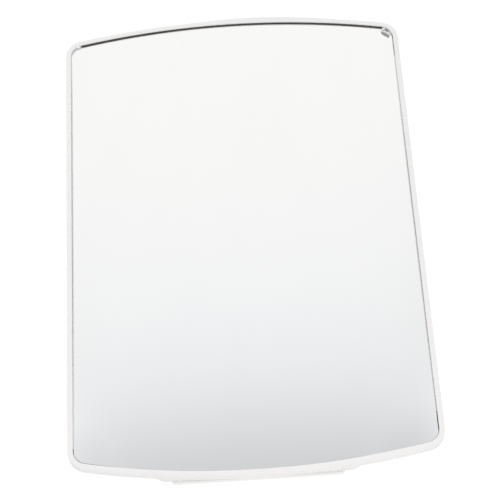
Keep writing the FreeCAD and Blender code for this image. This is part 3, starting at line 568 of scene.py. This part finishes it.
def dress_frame():
    """Gives every CAD node the material of its slot."""
    slot_of = {s["node"]: s["material_slot"] for s in frame["record"]["subparts"]}
    for name, obj in nodes.items():
        if not obj.material_slots:
            obj.data.materials.append(None)
        for entry in obj.material_slots:
            entry.material = SURFACES[slot_of[name]]


# ---------------------------------------------------------------- mirror, edging and rubber
def make_mirror():
    """The domed sheet: fine rings from its edge to the middle, with the dome's true normals."""
    edge = outline(MIRROR_INSET)
    size = len(edge)
    points = []
    normals = []
    for k in range(MIRROR_RINGS):
        share = 1 - (k / MIRROR_RINGS) ** RING_CROWDING
        for x, z in edge:
            points.append(Vector((x * share, MIRROR_FRONT - dome(x * share, z * share), z * share)))
            normals.append(dome_normal(x * share, z * share))
    points.append(Vector((0, MIRROR_FRONT - DOME_RISE, 0)))
    normals.append(Vector((0, -1, 0)))
    faces = ring_faces(MIRROR_RINGS, size, False)
    inner = (MIRROR_RINGS - 1) * size
    centre = len(points) - 1
    faces += [(inner + i, inner + (i + 1) % size, centre) for i in range(size)]
    front_count = len(points)
    back = Vector((0, MIRROR_THICKNESS, 0))
    points += [p + back for p in points]
    faces += [tuple(front_count + i for i in reversed(face)) for face in list(faces)]
    faces += [(i, front_count + i, front_count + (i + 1) % size, (i + 1) % size) for i in range(size)]
    obj = add_mesh("mirror_sheet", points, faces, 40)
    mesh = obj.data
    corner_normals = []
    for polygon in mesh.polygons:
        in_front = all(v < front_count for v in polygon.vertices)
        behind = all(v >= front_count for v in polygon.vertices)
        for v in polygon.vertices:
            if in_front:
                corner_normals.append(normals[v])
            elif behind:
                corner_normals.append(-normals[v - front_count])
            else:
                corner_normals.append(polygon.normal.copy())
    mesh.normals_split_custom_set([tuple(n) for n in corner_normals])
    return finish_piece(obj, "mirror", "mirror_head", "mirror_face")


def along_top(x, z):
    """Whether a point is on the thick length of rubber along the top."""
    return z > 0 and LEFT_JOINT_X < x < RIGHT_JOINT_X


def lip_gap(x, z):
    """The gap between the lip's turned edge and the mirror, where the rubber shows."""
    if along_top(x, z):
        return TOP_GAP
    if x < 0:
        return ease(z, -150 * MM, -40 * MM, LEFT_GAP_LOW, LEFT_GAP_HIGH)
    gap = ease(z, 80 * MM, 170 * MM, RIGHT_GAP_LOW, RIGHT_GAP_HIGH)
    gap += ease(z, -235 * MM, -190 * MM, RIGHT_GAP_MORE, 0)
    gap += ease(z, WEDGE_FOOT - 16 * MM, WEDGE_FOOT + 4 * MM, 0, WEDGE_GAP)
    return gap - ease(z, WEDGE_LOW - 3 * MM, WEDGE_LOW, 0, WEDGE_GAP)


def lip_edge(x, z):
    """Depth of the lip's turned edge, which follows the mirror."""
    return max(FRONT_Y + LIP_THICKNESS, MIRROR_FRONT - dome(x, z) - lip_gap(x, z))


def edging_profile():
    """The edging's section as (inset, depth behind the front), from the lip's inner round outwards."""
    depth = EDGING_BACK - FRONT_Y
    inner_centre = (LIP_WIDTH - LIP_ROUND, LIP_SET_BACK + LIP_ROUND)
    profile = arc_points(inner_centre, LIP_ROUND, 0, -90, 6)
    profile += [(LIP_WIDTH * 0.55, 0.02 * MM)]
    profile += arc_points((OUTER_ROUND, OUTER_ROUND), OUTER_ROUND, -90, -180, 8)
    for start in LINE_STARTS:
        end = start + LINE_WIDTH
        profile += [(0, start - LINE_EASE), (LINE_EASE, start), (LINE_DEPTH, start + LINE_EASE)]
        profile += [(LINE_DEPTH, end - LINE_EASE), (LINE_EASE, end), (0, end + LINE_EASE)]
    profile += arc_points((REAR_ROUND, depth - REAR_ROUND), REAR_ROUND, 180, 90, 5)
    rear_centre = (REAR_LIP_WIDTH - REAR_LIP_ROUND, depth - REAR_LIP_ROUND)
    profile += arc_points(rear_centre, REAR_LIP_ROUND, 90, 0, 4)
    inside = depth - REAR_LIP_THICKNESS
    profile += [(REAR_LIP_WIDTH, inside), (EDGING_WALL, inside)]
    profile += [(EDGING_WALL, LIP_THICKNESS), (LIP_WIDTH - LIP_TURN, LIP_THICKNESS)]
    return profile


def make_spine_notch():
    """The block that cuts the room for the tapering spine out of the rear lip."""
    slope = (SPINE_BASE - SPINE_TOP) / (2 * (spine_back - SHELL_BACK))
    tall = HALF_H * 1.1
    corners = []
    for y in (SHELL_BACK, EDGING_BACK + 1 * MM):
        half = SPINE_BASE / 2 + NOTCH_GAP - (y - SHELL_BACK) * slope
        for z in (-tall, tall):
            corners += [(-half, y, z), (half, y, z)]
    faces = [(0, 2, 3, 1), (4, 5, 7, 6), (0, 1, 5, 4), (2, 6, 7, 3), (0, 4, 6, 2), (1, 3, 7, 5)]
    return add_mesh("notch", corners, faces)


def make_edging():
    """The white edging: rounded lips, an outer wall with two fine lines, and the notch for the spine."""
    band = [(inset, FRONT_Y + y) for inset, y in edging_profile()]
    band += [(LIP_WIDTH - LIP_TURN, lip_edge), (LIP_WIDTH, lip_edge)]
    obj = sweep_outline("edging", band)
    cut_away(obj, make_spine_notch())
    obj.data.shade_smooth()
    obj.data.set_sharp_from_angle(angle=math.radians(35))
    return finish_piece(obj, "white_edging", "mirror_head", "bezel_frame")


def gasket_swell(x, z):
    """How far the rubber bulges past the lip."""
    waver = noise.noise(Vector((x * WAVER_SCALE, 0, z * WAVER_SCALE))) * WAVER
    if along_top(x, z):
        share = (x - LEFT_JOINT_X) / (RIGHT_JOINT_X - LEFT_JOINT_X)
        return waver + TOP_SWELL - TOP_TAPER * share - ease(x, -100 * MM, -20 * MM, 0, TOP_DROP)
    low = bell(z + HALF_H, 30 * MM)
    side = (1 - low) * SIDE_SINK
    bottom = low * (BOTTOM_SWELL - BOTTOM_DROP * bell(x, 70 * MM))
    by_wedge = WEDGE_SWELL * bell(z - (WEDGE_FOOT + 10 * MM), 9 * MM) if x > 0 else 0
    from_corner = (Vector((abs(x), z)) - Vector((HALF_W, -HALF_H))).length
    corner = (LEFT_CORNER_SWELL if x < 0 else RIGHT_CORNER_SWELL) * bell(from_corner, 42 * MM)
    pinch_at = Vector((HALF_W - LIP_WIDTH, PINCH_HEIGHT - HALF_H))
    pinch = PINCH_SWELL * bell((Vector((x, z)) - pinch_at).length, 14 * MM)
    return waver - side + bottom + by_wedge + corner + pinch


def make_gasket():
    """The rubber strip between lip and mirror, its face pressed on to the dome."""
    clear = 0.02 * MM
    inner = outline(LIP_WIDTH)
    outer = outline(MIRROR_INSET + 0.1 * MM)
    size = len(inner)
    front = GASKET_FRONT + clear
    rings = [[] for _ in range(GASKET_ROWS + 3)]
    for (xi, zi), (xo, zo) in zip(inner, outer):
        inward = (Vector((xi, zi)) - Vector((xo, zo))).normalized()
        swell = gasket_swell(xi, zi)
        touch = MIRROR_FRONT - dome(xi, zi) - clear
        rings[0].append((xo, front, zo))
        for row in range(GASKET_ROWS + 1):
            share = row / GASKET_ROWS
            bulge = swell * math.sin(math.pi * (0.12 + 0.76 * share))
            x = xi + inward.x * bulge
            z = zi + inward.y * bulge
            rings[row + 1].append((x, front + (touch - front) * share, z))
        rings[GASKET_ROWS + 2].append((xo, MIRROR_FRONT - dome(xo, zo) - clear, zo))
    points = [p for ring in rings for p in ring]
    obj = add_mesh("gasket_strip", points, ring_faces(len(rings), size, True), 50)
    return finish_piece(obj, "black_rubber", "mirror_head", "front_gasket")


# ---------------------------------------------------------------- wedge and sealant in the upper corners
def wedge_place(u, v):
    """Head coordinates of a point u along the wedge and v towards the corner."""
    x = WEDGE_CENTRE[0] + u * math.cos(WEDGE_TURN) + v * math.sin(WEDGE_TURN)
    z = WEDGE_CENTRE[1] - u * math.sin(WEDGE_TURN) + v * math.cos(WEDGE_TURN)
    return x, z


def lip_reach(u):
    """How far from the wedge's middle line the lip's inner round lies, at u along it."""
    radius = CORNER_RADIUS - LIP_WIDTH
    centre_x = HALF_W - CORNER_RADIUS
    centre_z = ARCH_CENTRE + math.sqrt((ARCH_RADIUS - CORNER_RADIUS) ** 2 - centre_x ** 2)
    x, z = wedge_place(u, 0)
    away = Vector((x - centre_x, z - centre_z))
    along = away.dot(Vector((math.sin(WEDGE_TURN), math.cos(WEDGE_TURN))))
    return -along + math.sqrt(along ** 2 - away.length_squared + radius ** 2)


def patch_on_mirror(name, span_u, low_v, high_v, rise, surface, lean=0.0):
    """A small closed block on the mirror, from low_v(u) to high_v(u).

    rise is its height, a function of the shares of the way along and across.
    """
    columns = 72
    rows = 14
    front = []
    behind = []
    for i in range(columns + 1):
        u = span_u[0] + (span_u[1] - span_u[0]) * i / columns
        for j in range(rows + 1):
            v = low_v(u) + (high_v(u) - low_v(u)) * j / rows
            x, z = wedge_place(u - lean * v, v)
            base = MIRROR_FRONT - dome(x, z) - 0.03 * MM
            behind.append((x, base, z))
            front.append((x, base - rise(i / columns, j / rows), z))
    count = len(front)
    stride = rows + 1
    faces = []
    for i in range(columns):
        for j in range(rows):
            k = i * stride + j
            faces.append((k, k + stride, k + stride + 1, k + 1))
            faces.append((count + k, count + k + 1, count + k + stride + 1, count + k + stride))
    rim = [i * stride for i in range(columns + 1)]
    rim += [columns * stride + j for j in range(1, rows + 1)]
    rim += [i * stride + rows for i in reversed(range(columns))]
    rim += [j for j in reversed(range(1, rows))]
    for a, b in zip(rim, rim[1:] + rim[:1]):
        faces.append((b, a, count + a, count + b))
    obj = add_mesh(name, front + behind, faces, 50)
    obj.data.flip_normals()
    return finish_piece(obj, "grey_plastic", "mirror_head", surface=surface)


def ribbed(thick, deep):
    """A rise with rounded edges and ribs across it."""
    def rise(s, t):
        rounded = (1 - abs(2 * s - 1) ** 10) * (1 - abs(2 * t - 1) ** 8)
        tooth = abs(math.sin(math.pi * WEDGE_RIBS * s + 1.2 * t)) ** 0.6
        return (0.25 + 0.75 * rounded) * (thick + deep * tooth)
    return rise


def rounded_ribbon(s, t):
    """A smooth rise with rounded edges."""
    return (0.3 + 0.7 * (1 - abs(2 * s - 1) ** 6) * (1 - abs(2 * t - 1) ** 4)) * TONGUE_RISE


def make_wedge():
    """The gasket's wedge: a ribbed block, a pale tongue over it and a ribbed foot under the lip."""
    half = WEDGE_LENGTH / 2
    block = patch_on_mirror("wedge_block", (-half, half), lambda u: -BLOCK_HALF, lambda u: BLOCK_HALF,
                            ribbed(0.7 * MM, 1.1 * MM), "grey_plastic", BLOCK_LEAN)
    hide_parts("gasket_corner_wedge")
    patch_on_mirror("wedge_tongue", (-0.8 * half, 0.95 * half), lambda u: TONGUE_NEAR,
                    lambda u: TONGUE_FAR, rounded_ribbon, "wedge_pale")
    patch_on_mirror("wedge_foot", (-0.75 * half, 0), lambda u: lip_reach(u) - FOOT_NEAR,
                    lambda u: lip_reach(u) - FOOT_FAR, ribbed(0.7 * MM, 0.9 * MM), "grey_plastic")


def make_sealant(name, x, z, radius):
    """A dab of white sealant in a gasket joint, flattened on the mirror."""
    rings = 10
    around = 28
    points = []
    for i in range(1, rings):
        angle = math.pi * i / rings
        for k in range(around):
            turn = 2 * math.pi * k / around
            lump = 1 + 0.12 * math.sin(2 * turn + 0.6) + 0.07 * math.sin(5 * turn)
            px = x + radius * lump * math.sin(angle) * math.cos(turn)
            pz = z + radius * lump * 0.8 * math.sin(angle) * math.sin(turn)
            points.append((px, MIRROR_FRONT - dome(px, pz) - radius * (0.8 + 0.6 * math.cos(angle)), pz))
    faces = ring_faces(rings - 1, around, False)
    faces.append(tuple(reversed(range(around))))
    faces.append(tuple((rings - 2) * around + k for k in range(around)))
    obj = add_mesh(name, points, faces, 80)
    obj.data.flip_normals()
    return finish_piece(obj, "grey_plastic", "mirror_head", surface="sealant")


# ---------------------------------------------------------------- weld beads of the bracket
BEAD_RADIUS = 1.9 * MM
THIN_BEAD_RADIUS = 1.6 * MM
BEAD_RIPPLE = 1.6 * MM                  # distance between the ripples of the puddle
BEAD_STEP = 0.4 * MM
SADDLE_WELD_REACH = math.radians(44)    # half the angle that the beads go round the saddle
SADDLE_WELD_STEPS = 24
YOKE_BASE = 4 * MM
YOKE_EAR = 5 * MM
YOKE_EAR_HALF = 24 * MM


def bead(name, path, radius, body, seed):
    """A weld bead: a tube with the ripples of its puddle, joined to the steel that it lies on."""
    fine = []
    for a, b in zip(path, path[1:]):
        steps = max(int((b - a).length / BEAD_STEP), 1)
        fine += [a.lerp(b, i / steps) for i in range(steps)]
    fine.append(path[-1])
    radii = []
    travelled = 0.0
    for i, point in enumerate(fine):
        travelled += (point - fine[max(i - 1, 0)]).length
        wave = 1 + 0.10 * math.sin(2 * math.pi * travelled / BEAD_RIPPLE)
        wander = 1 + 0.12 * noise.noise(Vector((travelled * 120, seed, 0)))
        end = min(1, 0.45 + min(i, len(fine) - 1 - i) * 0.12)
        radii.append(radius * wave * wander * end)
    obj = tube_along(name, fine, radii)
    return finish_piece(obj, "galvanised_steel", body, surface="weld")


def make_bracket_welds():
    """Beads along the fork plates and the gusset on the saddle."""
    saddle_radius = -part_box("post_saddle")[0].y
    for side, node in (("upper", "fork_upper_plate"), ("lower", "fork_lower_plate")):
        low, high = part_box(node)
        for level_name, level in (("top", high.z), ("under", low.z)):
            path = []
            for i in range(SADDLE_WELD_STEPS + 1):
                angle = -SADDLE_WELD_REACH + 2 * SADDLE_WELD_REACH * i / SADDLE_WELD_STEPS
                around = Vector((math.sin(angle), -math.cos(angle), 0)) * saddle_radius
                path.append(around + Vector((0, 0, level)))
            bead(f"weld_{side}_{level_name}", path, BEAD_RADIUS, "post_bracket", 1.7 * level / MM)
    low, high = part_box("fork_gusset")
    for side, x in (("left", low.x), ("right", high.x)):
        contact = -math.sqrt(saddle_radius ** 2 - x ** 2)
        path = [Vector((x, contact, low.z + 2 * MM)), Vector((x, contact, high.z - 2 * MM))]
        bead(f"weld_gusset_{side}", path, THIN_BEAD_RADIUS, "post_bracket", 3.1 + x / MM)


def make_yoke_welds():
    """Beads along the outer sides of the yoke's ears."""
    base_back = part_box("head_yoke")[0].y + YOKE_BASE
    ear_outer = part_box("tilt_friction_discs")[1].x + 0.1 * MM + YOKE_EAR
    for side, sign in (("right", 1), ("left", -1)):
        path = [Vector((sign * ear_outer, base_back, z)) for z in (-YOKE_EAR_HALF, YOKE_EAR_HALF)]
        bead(f"weld_ear_{side}", path, BEAD_RADIUS, "mirror_head", 9.3 * sign)


# ---------------------------------------------------------------- camera
CAMERA_ELEVATION = -30.88               # degrees; the camera looks up at the mirror
CAMERA_AZIMUTH = 0.03
CAMERA_ROLL = -3.628
CAMERA_DISTANCE = 2.0395
CAMERA_LENS = 130.86
CAMERA_AIM = Vector((6.3 * MM, FRONT_Y, -27.25 * MM))


def make_camera():
    """The camera, aimed at a point on the head's front plane."""
    azimuth = math.radians(CAMERA_AZIMUTH)
    elevation = math.radians(CAMERA_ELEVATION)
    back = Vector((math.sin(azimuth) * math.cos(elevation), -math.cos(azimuth) * math.cos(elevation),
                   math.sin(elevation)))
    right = Vector((0, 0, 1)).cross(back).normalized()
    up = back.cross(right)
    roll = math.radians(CAMERA_ROLL)
    rolled_right = right * math.cos(roll) + up * math.sin(roll)
    rolled_up = up * math.cos(roll) - right * math.sin(roll)
    data = bpy.data.cameras.new("camera")
    data.lens = CAMERA_LENS
    data.sensor_width = 36
    data.clip_end = 100
    camera = bpy.data.objects.new("camera", data)
    turn = Matrix((rolled_right, rolled_up, back)).transposed().to_4x4()
    camera.matrix_world = Matrix.Translation(CAMERA_AIM + back * CAMERA_DISTANCE) @ turn
    bpy.context.scene.collection.objects.link(camera)
    bpy.context.scene.camera = camera


# ---------------------------------------------------------------- studio
SKY_HIGH = 0.967                        # brightness of the studio in front of the mirror, up high
SKY_LOW = 0.632                         # and near the ground
SKY_MIDDLE = 0.273                      # direction height where it is halfway
SKY_WIDTH = 0.0966                      # how gradual the change is
SKY_LEAN = -0.038                       # its slant from left to right
SKY_SPREAD = -1.20                      # how the sides differ from the middle near the ground
SKY_FLARE = 2.116                       # and how that changes with height
SKY_SIDE = 0.32                         # squared sideways direction past which the sides change no more
SKY_BEHIND = 1.04                       # brightness of the wall behind the mirror, up high
SKY_BEHIND_LOW = 0.80                   # and near the ground
COOL_TINT = (0.990, 0.998, 1.016)       # in front of the mirror, low down
WARM_TINT = (1.006, 1.0, 0.988)         # and up high
FLOOR_Z = -1.6
FLOOR_RADIUS = 6.0
FLOOR_SIDES = 96


def make_world():
    """A white studio. In front of the mirror it darkens smoothly towards the ground."""
    world = bpy.data.worlds.new("studio")
    bpy.context.scene.world = world
    world.use_nodes = True
    w = Nodes(world.node_tree)
    parts = w.node("ShaderNodeSeparateXYZ")
    w.link(w.node("ShaderNodeTexCoord").outputs["Generated"], parts.inputs[0])
    x, y, z = parts.outputs
    lean = w.math("MULTIPLY", x, SKY_LEAN)
    side = w.math("MINIMUM", w.math("MULTIPLY", x, x), SKY_SIDE)
    spread = w.math("MULTIPLY", side, w.math("ADD", SKY_SPREAD, w.math("MULTIPLY", z, SKY_FLARE)))
    height = w.math("ADD", z, w.math("ADD", lean, spread))
    steep = w.math("DIVIDE", w.math("SUBTRACT", height, SKY_MIDDLE), SKY_WIDTH)
    fall = w.math("EXPONENT", w.math("MULTIPLY", steep, -1.0))
    rise = w.math("DIVIDE", 1.0, w.math("ADD", fall, 1.0))
    front = w.math("ADD", SKY_LOW, w.math("MULTIPLY", rise, SKY_HIGH - SKY_LOW))
    behind = w.span(y, -0.32, -0.02, shape="SMOOTHSTEP")
    front_part = w.math("MULTIPLY", front, w.math("SUBTRACT", 1.0, behind))
    wall_height = w.span(z, 0.0, 0.33, shape="SMOOTHSTEP")
    wall = w.math("ADD", SKY_BEHIND_LOW, w.math("MULTIPLY", wall_height, SKY_BEHIND - SKY_BEHIND_LOW))
    level = w.math("ADD", front_part, w.math("MULTIPLY", behind, wall))
    tint = w.blend(w.span(z, 0.28, 0.68, shape="SMOOTHSTEP"), COOL_TINT, WARM_TINT)
    background = w.tree.nodes["Background"]
    w.link(w.blend(behind, tint, (1.0, 1.0, 1.0)), background.inputs["Color"])
    w.link(level, background.inputs["Strength"])


def make_floor():
    """A plain pale floor well below the mirror. It fades into the studio's walls."""
    points = [(0, 0, FLOOR_Z)]
    for i in range(FLOOR_SIDES):
        angle = 2 * math.pi * i / FLOOR_SIDES
        points.append((FLOOR_RADIUS * math.cos(angle), FLOOR_RADIUS * math.sin(angle), FLOOR_Z))
    faces = [(0, 1 + i, 1 + (i + 1) % FLOOR_SIDES) for i in range(FLOOR_SIDES)]
    floor = add_mesh("floor", points, faces)
    s = Surface("pale_floor", specular=0.2)
    s.colours(s.noise(1.5, 3), 0.3, 0.7, (0.83, 0.83, 0.83), (0.85, 0.85, 0.85))
    s.roughness(s.noise(12, 4), 0.3, 0.7, 0.6, 0.75)
    s.set("Alpha", s.near((0, 0, FLOOR_Z), FLOOR_RADIUS, FLOOR_RADIUS * 0.3, 1.0))
    floor.data.materials.append(s.material)


def soft_light(name, position, aim, size, power):
    """A large soft white light that mirrors and the camera don't see."""
    data = bpy.data.lights.new(name, "AREA")
    data.shape = "DISK"
    data.size = size
    data.energy = power
    light = bpy.data.objects.new(name, data)
    light.location = position
    light.rotation_euler = (Vector(aim) - Vector(position)).to_track_quat("-Z", "Y").to_euler()
    light.visible_glossy = False
    light.visible_camera = False
    bpy.context.scene.collection.objects.link(light)


# ---------------------------------------------------------------- the scene
bpy.context.scene.view_settings.view_transform = "Standard"
dress_frame()
make_mirror()
make_edging()
make_gasket()
make_wedge()
make_sealant("sealant_left", -184.9 * MM, 273.7 * MM, 1.9 * MM)
make_sealant("sealant_right", 184.0 * MM, 272.6 * MM, 1.5 * MM)
make_bracket_welds()
make_yoke_welds()
make_camera()
make_world()
make_floor()
soft_light("key", (-1.6, -2.4, 1.2), (0, FRONT_Y, 0), size=1.6, power=12)
soft_light("fill", (1.8, -2.0, -0.6), (0, FRONT_Y, 0), size=1.8, power=6.5)
soft_light("lift", (0.2, -0.6, -1.4), (0, FRONT_Y, -0.3), size=1.2, power=1.9)
